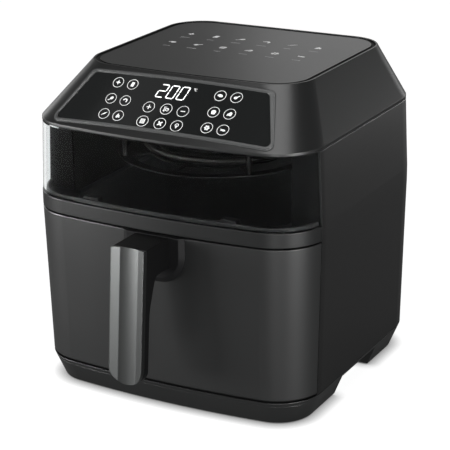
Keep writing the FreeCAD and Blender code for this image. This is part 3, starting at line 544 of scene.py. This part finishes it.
def wrapNodes(tree, geometry, lift):
    # flat x, y and z become across, along and off the bowed slope
    place = tree.nodes.new("GeometryNodeInputPosition")
    split = tree.nodes.new("ShaderNodeSeparateXYZ")
    tree.links.new(place.outputs[0], split.inputs[0])
    across, along, height = split.outputs
    off = mathNode(tree, "ADD", height, lift)
    bowSquare = mathNode(tree, "SUBTRACT", slope["bow"] ** 2, mathNode(tree, "MULTIPLY", across, across))
    bowBack = mathNode(tree, "SUBTRACT", slope["bow"], mathNode(tree, "SQRT", bowSquare))
    join = tree.nodes.new("ShaderNodeCombineXYZ")
    tree.links.new(across, join.inputs[0])
    for axis, extra in ((1, bowBack), (2, 0.0)):
        rise = mathNode(tree, "MULTIPLY", along, slopeAlong[axis])
        stand = mathNode(tree, "MULTIPLY", off, slopeOut[axis])
        total = mathNode(tree, "ADD", mathNode(tree, "ADD", rise, stand), extra)
        tree.links.new(mathNode(tree, "ADD", total, slope["low"][axis]), join.inputs[axis])
    move = tree.nodes.new("GeometryNodeSetPosition")
    tree.links.new(geometry, move.inputs["Geometry"])
    tree.links.new(join.outputs[0], move.inputs["Position"])
    return move.outputs["Geometry"]


def endTree(tree, geometry, gin, gout):
    paint = tree.nodes.new("GeometryNodeSetMaterial")
    tree.links.new(geometry, paint.inputs["Geometry"])
    tree.links.new(gin.outputs["Finish"], paint.inputs["Material"])
    tree.links.new(paint.outputs[0], gout.inputs[0])


def bakeTree(name, mesh, treeAndIds, values):
    # run the tree once and keep the plain mesh
    tree, ids = treeAndIds
    source = addToScene(name + "Source", mesh)
    modifier = source.modifiers.new("build", "NODES")
    modifier.node_group = tree
    for label, value in values.items():
        modifier[ids[label]] = value
    graph = bpy.context.evaluated_depsgraph_get()
    baked = bpy.data.meshes.new_from_object(source.evaluated_get(graph))
    source.modifiers.remove(modifier)
    bpy.data.objects.remove(source)
    baked.name = name
    return addToScene(name, baked)


def pointMesh(name, points):
    mesh = bpy.data.meshes.new(name)
    mesh.from_pydata(points, [], [])
    return mesh


# control panel: ring keys, their symbols and the lit digits, in mm, with places across and up the slope

panelKeys = {
    "ring": 5.55, "wideRing": 5.8, "line": 0.47, "ringSteps": 36, "symbolSize": 4.7,
    "left": [("sparkle", -62.7, 56.0), ("toast", -46.4, 56.0), ("drumstick", -62.4, 37.4),
             ("prawn", -46.3, 37.4), ("skewer", -62.2, 19.9), ("pepper", -46.4, 20.1)],
    "right": [("steak", 46.9, 56.0), ("ladle", 63.2, 55.9), ("muffin", 47.3, 37.7),
              ("floret", 63.4, 37.6), ("blossom", 47.5, 20.2), ("fish", 63.6, 20.0)],
    "middle": [("plus", -18.9, 34.3), ("timeTemp", -0.3, 34.5), ("minus", 17.3, 34.4),
               ("menuGrid", -18.7, 18.3), ("airFan", -0.1, 18.3), ("bulb", 17.4, 18.2)],
}
foodKeys = panelKeys["left"] + panelKeys["right"]
allKeys = foodKeys + panelKeys["middle"]
digitRow = {
    "text": "200", "low": 46.4, "high": 60.6, "start": -17.6, "pitch": 11.0,
    "width": 7.6, "stroke": 1.05, "slant": 0.19, "gap": 0.25,
}
segmentsOf = {"2": "abged", "0": "abcdef"}
unitMark = {
    "x": 19.0, "y": 60.2, "ring": 0.55, "ringLine": 0.35,
    "letterX": 2.0, "letterDrop": 1.2, "letter": 1.25, "letterLine": 0.5, "letterArc": (50, 310),
}
printLift = slope["glass"] + inkGap


def makeRingTree():
    tree, gin, gout, ids = newTree("keyRings", ["Radius", "Line", "Height", "Lift"])
    circle = tree.nodes.new("GeometryNodeCurvePrimitiveCircle")
    circle.inputs["Resolution"].default_value = panelKeys["ringSteps"]
    profile = tree.nodes.new("GeometryNodeCurvePrimitiveQuadrilateral")
    sweep = tree.nodes.new("GeometryNodeCurveToMesh")
    flatten = tree.nodes.new("GeometryNodeTransform")
    scale = tree.nodes.new("ShaderNodeCombineXYZ")
    scale.inputs[0].default_value = 1.0
    scale.inputs[1].default_value = 1.0
    link = tree.links.new
    link(gin.outputs["Radius"], circle.inputs["Radius"])
    link(gin.outputs["Line"], profile.inputs["Width"])
    link(gin.outputs["Line"], profile.inputs["Height"])
    link(circle.outputs[0], sweep.inputs["Curve"])
    link(profile.outputs[0], sweep.inputs["Profile Curve"])
    link(sweep.outputs[0], flatten.inputs["Geometry"])
    link(mathNode(tree, "DIVIDE", gin.outputs["Height"], gin.outputs["Line"]), scale.inputs[2])
    link(scale.outputs[0], flatten.inputs["Scale"])
    rings = copyToPoints(tree, gin, flatten.outputs[0])[1]
    endTree(tree, wrapNodes(tree, rings, gin.outputs["Lift"]), gin, gout)
    return tree, ids


def makeWrapTree():
    tree, gin, gout, ids = newTree("slopePrint", ["Lift"])
    real = tree.nodes.new("GeometryNodeRealizeInstances")
    tree.links.new(gin.outputs["Geometry"], real.inputs[0])
    endTree(tree, wrapNodes(tree, real.outputs[0], gin.outputs["Lift"]), gin, gout)
    return tree, ids


def keySymbols():
    polygons = []
    for symbol, across, along in allKeys:
        polygons += placed(symbol, across * mm, along * mm, panelKeys["symbolSize"] * mm)
    return polygons


def digitSegments(look):
    width = look["width"]
    half = (look["high"] - look["low"]) / 2.0
    bars = {
        "a": ((0, 2 * half), (width, 2 * half)),
        "b": ((width, half), (width, 2 * half)),
        "c": ((width, 0), (width, half)),
        "d": ((0, 0), (width, 0)),
        "e": ((0, 0), (0, half)),
        "f": ((0, half), (0, 2 * half)),
        "g": ((0, half), (width, half)),
    }
    polygons = []
    for index, digit in enumerate(look["text"]):
        left = look["start"] + index * look["pitch"]
        for label in segmentsOf[digit]:
            start, end = [Vector(point) for point in bars[label]]
            run = (end - start).normalized()
            side = Vector((-run.y, run.x)) * look["stroke"] / 2.0
            cut = run * look["stroke"] / 2.0
            start = start + run * look["gap"]
            end = end - run * look["gap"]
            points = [start, start + cut - side, end - cut - side, end, end - cut + side, start + cut + side]
            polygons.append([((left + point.x + look["slant"] * point.y) * mm, (look["low"] + point.y) * mm)
                             for point in points])
    return polygons


def degreeSign(look):
    ring = ringBands(look["x"] * mm, look["y"] * mm, look["ring"] * mm, look["ringLine"] * mm)
    letterX = (look["x"] + look["letterX"]) * mm
    letterY = (look["y"] - look["letterDrop"]) * mm
    letter = arcBand(letterX, letterY, look["letter"] * mm, look["letterLine"] * mm, *look["letterArc"])
    return ring + [letter]


ringTree = makeRingTree()
wrapTree = makeWrapTree()
keyRings = {
    "foodKeyRings": (foodKeys, panelKeys["ring"]),
    "mainKeyRings": (panelKeys["middle"], panelKeys["wideRing"]),
}
for name, (keys, radius) in keyRings.items():
    centres = [(across * mm, along * mm, 0.0) for symbol, across, along in keys]
    piece = bakeTree(name, pointMesh(name + "Points", centres), ringTree, {
        "Radius": radius * mm, "Line": panelKeys["line"] * mm, "Height": inkHeight,
        "Lift": printLift, "Finish": keyPrintGlowing})
    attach(piece, "housing")

flatPrints = {
    "keySymbols": (keySymbols(), keyPrintGlowing),
    "litDigits": (digitSegments(digitRow), digitLit),
    "unitSign": (degreeSign(unitMark), keyPrintGlowing),
}
for name, (polygons, ink) in flatPrints.items():
    flat = flatMesh(name + "Flat", polygons, 0.0)
    piece = bakeTree(name, flat, wrapTree, {"Lift": printLift, "Finish": ink})
    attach(piece, "housing")
print("control panel printed")

# crown: two rows of symbols with a short plain caption stroke below each, in mm

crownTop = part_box("top_plate")[1][2] + inkHeight  # metres, as the frame is
crownMarks = {
    "size": 7.4, "firstX": -76.0, "pitch": 28.7,
    "rear": (97.0, ["sparkle", "toast", "drumstick", "prawn", "skewer", "pepper"]),
    "front": (58.8, ["steak", "ladle", "muffin", "floret", "blossom", "fish"]),
}
captionLook = {
    "drop": 15.2, "shift": 1.5, "length": 9.5, "thickness": 1.1,
    "shortest": 0.75, "longest": 1.15,  # shares of the length
    "seed": 4,
}
polygons, captions = [], []
for row in ("rear", "front"):
    y, rowSymbols = crownMarks[row]
    for column, symbol in enumerate(rowSymbols):
        x = crownMarks["firstX"] + crownMarks["pitch"] * column
        polygons += placed(symbol, x * mm, y * mm, crownMarks["size"] * mm)
        captionX = (x + captionLook["shift"]) * mm
        captionY = (y - captionLook["drop"]) * mm
        captions.append((captionX, captionY, crownTop))
crownMesh = flatMesh("crownSymbols", polygons, crownTop)
crownMesh.materials.append(crownPrint)
piece = addToScene("crownSymbols", crownMesh)
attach(piece, "housing")


def makeCaptionTree():
    tree, gin, gout, ids = newTree("captionStrokes", ["Length", "Thickness"], seeded=True)
    stroke = boxNode(tree, gin.outputs["Length"], gin.outputs["Thickness"], inkHeight)
    vary = tree.nodes.new("FunctionNodeRandomValue")
    vary.data_type = "FLOAT_VECTOR"
    vary.inputs[0].default_value = (captionLook["shortest"], 1.0, 1.0)
    vary.inputs[1].default_value = (captionLook["longest"], 1.0, 1.0)
    tree.links.new(gin.outputs["Seed"], vary.inputs["Seed"])
    copies, strokes = copyToPoints(tree, gin, stroke)
    tree.links.new(vary.outputs[0], copies.inputs["Scale"])
    endTree(tree, strokes, gin, gout)
    return tree, ids


piece = bakeTree("crownCaptions", pointMesh("captionPoints", captions), makeCaptionTree(), {
    "Length": captionLook["length"] * mm, "Thickness": captionLook["thickness"] * mm,
    "Seed": captionLook["seed"], "Finish": captionPrint})
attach(piece, "housing")
print("crown printed")

# exhaust duct: tilted blades between the chamber and the rear grille, in metres and degrees

ductLow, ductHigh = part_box("exhaust_duct")
bladeLook = {"count": 3, "pitch": 0.0065, "width": 0.1, "chord": 0.011, "sheet": 0.0008, "tilt": 50.0}


def makeBladeTree():
    tree, gin, gout, ids = newTree("ductBlades", ["Width", "Chord", "Sheet", "Tilt"])
    blade = boxNode(tree, gin.outputs["Width"], gin.outputs["Chord"], gin.outputs["Sheet"])
    turn = tree.nodes.new("ShaderNodeCombineXYZ")
    euler = tree.nodes.new("FunctionNodeEulerToRotation")
    tree.links.new(gin.outputs["Tilt"], turn.inputs[0])
    tree.links.new(turn.outputs[0], euler.inputs[0])
    copies, blades = copyToPoints(tree, gin, blade)
    tree.links.new(euler.outputs[0], copies.inputs["Rotation"])
    endTree(tree, blades, gin, gout)
    return tree, ids


bladeMiddle = (Vector(ductLow) + Vector(ductHigh)) / 2.0
bladePoints = []
for index in range(bladeLook["count"]):
    step = index - (bladeLook["count"] - 1) / 2.0
    bladePoints.append((bladeMiddle.x, bladeMiddle.y, bladeMiddle.z + bladeLook["pitch"] * step))
piece = bakeTree("ductBlades", pointMesh("bladePoints", bladePoints), makeBladeTree(), {
    "Width": bladeLook["width"], "Chord": bladeLook["chord"], "Sheet": bladeLook["sheet"],
    "Tilt": math.radians(bladeLook["tilt"]), "Finish": blackPlastic})
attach(piece, "housing")
print("duct blades set in", [round(v, 4) for v in ductLow], [round(v, 4) for v in ductHigh])

# floor and background

stageLook = {
    "floorSize": 14.0, "floorColor": grey(0.14), "floorRoughness": 0.9, "lift": 0.94, "shadeReach": 0.013,
    "ambient": 0.17, "skyStops": ((0.0, 0.36), (0.10, 0.24), (0.24, 0.13), (1.0, 0.07)),
}


def seenWhite(tree):
    # 1 for the kinds of ray that should meet a white background
    path = tree.nodes.new("ShaderNodeLightPath")
    return mathNode(tree, "MAXIMUM", path.outputs["Is Camera Ray"], path.outputs["Is Transmission Ray"])


half = stageLook["floorSize"] / 2.0
floorMesh = bpy.data.meshes.new("floor")
floorCorners = [(-half, -half, 0), (half, -half, 0), (half, half, 0), (-half, half, 0)]
floorMesh.from_pydata(floorCorners, [], [(0, 1, 2, 3)])
floor = addToScene("floor", floorMesh)
floorMat, floorShader = newMaterial("floorPaper", stageLook["floorColor"], stageLook["floorRoughness"])
floorShader.inputs["Specular IOR Level"].default_value = 0.0
floorTree = floorMat.node_tree
# painted contact shadow: ambient occlusion darkens the floor's white glow where the part meets the floor
paintedContactShade = floorTree.nodes.new("ShaderNodeAmbientOcclusion")
paintedContactShade.inputs["Distance"].default_value = stageLook["shadeReach"]
floorTree.links.new(paintedContactShade.outputs["Color"], floorShader.inputs["Emission Color"])
glow = mathNode(floorTree, "MULTIPLY", seenWhite(floorTree), stageLook["lift"])
floorTree.links.new(glow, floorShader.inputs["Emission Strength"])
floorMesh.materials.append(floorMat)

world = bpy.data.worlds.new("studio")
bpy.context.scene.world = world
world.use_nodes = True
sky = world.node_tree
background = sky.nodes["Background"]
background.inputs["Color"].default_value = (*grey(1.0), 1.0)
heading = sky.nodes.new("ShaderNodeTexCoord")
height = sky.nodes.new("ShaderNodeSeparateXYZ")
fade = sky.nodes.new("ShaderNodeValToRGB")  # palest at the horizon, dim overhead, for reflections
for index, (place, level) in enumerate(stageLook["skyStops"]):
    stop = fade.color_ramp.elements[index] if index < 2 else fade.color_ramp.elements.new(place)
    stop.position = place
    stop.color = (*grey(level), 1.0)
sky.links.new(heading.outputs["Generated"], height.inputs[0])
sky.links.new(height.outputs[2], fade.inputs[0])
path = sky.nodes.new("ShaderNodeLightPath")
soft = blend(sky, path.outputs["Is Glossy Ray"], stageLook["ambient"], fade.outputs[0])
sky.links.new(blend(sky, seenWhite(sky), soft, 1.0), background.inputs["Strength"])

# lamps: azimuth 0 is straight ahead of the front, positive to its right
# reach names the piece that a lamp lights alone (INCLUDE) or leaves out (EXCLUDE)

lampAim = Vector((0.0, 0.0, 0.16))
lamps = {
    "keyBox": {"azimuth": -53.0, "elevation": 4.0, "distance": 2.1, "size": (1.4, 0.6), "watts": 88.0},
    "gripBox": {"azimuth": 24.0, "elevation": 1.5, "distance": 2.3, "size": (0.5, 0.42), "watts": 27.0},
    "sideBox": {"azimuth": 66.0, "elevation": 3.0, "distance": 2.0, "size": (1.0, 0.5), "watts": 66.0,
                "reach": ("EXCLUDE", "outer_wrap")},
    "rearBox": {"azimuth": -114.0, "elevation": 6.0, "distance": 2.2, "size": (0.8, 0.6), "watts": 3.6},
    "sweepBox": {"azimuth": 158.0, "elevation": 2.0, "distance": 2.2, "size": (0.9, 0.5), "watts": 10.0,
                 "reach": ("INCLUDE", "outer_wrap")},
    "hoodBox": {"azimuth": 160.0, "elevation": 3.0, "distance": 2.3, "size": (0.9, 0.5), "watts": 3.2,
                "reach": ("INCLUDE", "hood")},
    "flankBox": {"azimuth": 82.0, "elevation": 3.0, "distance": 2.1, "size": (2.0, 0.9), "watts": 8.0,
                 "reach": ("INCLUDE", "outer_wrap")},
    "backBox": {"azimuth": -168.0, "elevation": 19.0, "distance": 2.7, "size": (1.4, 0.7), "watts": 2.9},
    "topBox": {"azimuth": 20.0, "elevation": 86.0, "distance": 2.6, "size": (1.6, 1.6), "watts": 30.0},
}


def directionTo(azimuth, elevation):
    turn = math.radians(azimuth)
    rise = math.radians(elevation)
    return Vector((math.sin(turn) * math.cos(rise), -math.cos(turn) * math.cos(rise), math.sin(rise)))


def areaLamp(name, look):
    data = bpy.data.lights.new(name, "AREA")
    data.shape = "RECTANGLE"
    data.size, data.size_y = look["size"]
    data.energy = look["watts"]
    return addToScene(name, data)


def setReach(lamp, state, node):
    group = bpy.data.collections.new(lamp.name + "Reach")
    group.objects.link(nodes[node])
    group.collection_objects[0].light_linking.link_state = state
    lamp.light_linking.receiver_collection = group


for name, look in lamps.items():
    lamp = areaLamp(name, look)
    away = directionTo(look["azimuth"], look["elevation"])
    lamp.location = lampAim + away * look["distance"]
    lamp.rotation_euler = (-away).to_track_quat("-Z", "Y").to_euler()
    if "reach" in look:
        setReach(lamp, *look["reach"])

# a dim card overhead, whose straight edge crosses the control panel's reflection
cardLook = {"at": (-1.44, -0.28, 2.6), "turn": 41.9, "size": (2.4, 0.33), "watts": 0.6}
card = areaLamp("panelCard", cardLook)
card.location = cardLook["at"]
card.rotation_euler = (0.0, 0.0, math.radians(cardLook["turn"]))

# camera: the shift moves the aim sideways, the roll turns the picture

shot = {
    "azimuth": 28.84, "elevation": 19.48, "distance": 1.68158, "roll": -0.79,
    "target": (0.0, 0.03685, 0.13993), "shift": -0.00624,
    "lens": 133.85, "sensor": 36.0, "near": 0.05, "far": 60.0,
}
back = directionTo(shot["azimuth"], shot["elevation"])
right = Vector((math.cos(math.radians(shot["azimuth"])), math.sin(math.radians(shot["azimuth"])), 0.0))
up = back.cross(right)
aim = Vector(shot["target"]) + right * shot["shift"]
roll = math.radians(shot["roll"])
rolledRight = right * math.cos(roll) + up * math.sin(roll)
rolledUp = up * math.cos(roll) - right * math.sin(roll)
cameraData = bpy.data.cameras.new("shot")
cameraData.lens = shot["lens"]
cameraData.sensor_width = shot["sensor"]
cameraData.clip_start = shot["near"]
cameraData.clip_end = shot["far"]
camera = addToScene("shot", cameraData)
turned = Matrix((rolledRight, rolledUp, back)).transposed().to_4x4()
camera.matrix_world = Matrix.Translation(aim + back * shot["distance"]) @ turned
bpy.context.scene.camera = camera
bpy.context.scene.view_settings.view_transform = "Standard"
print("stage and camera set")
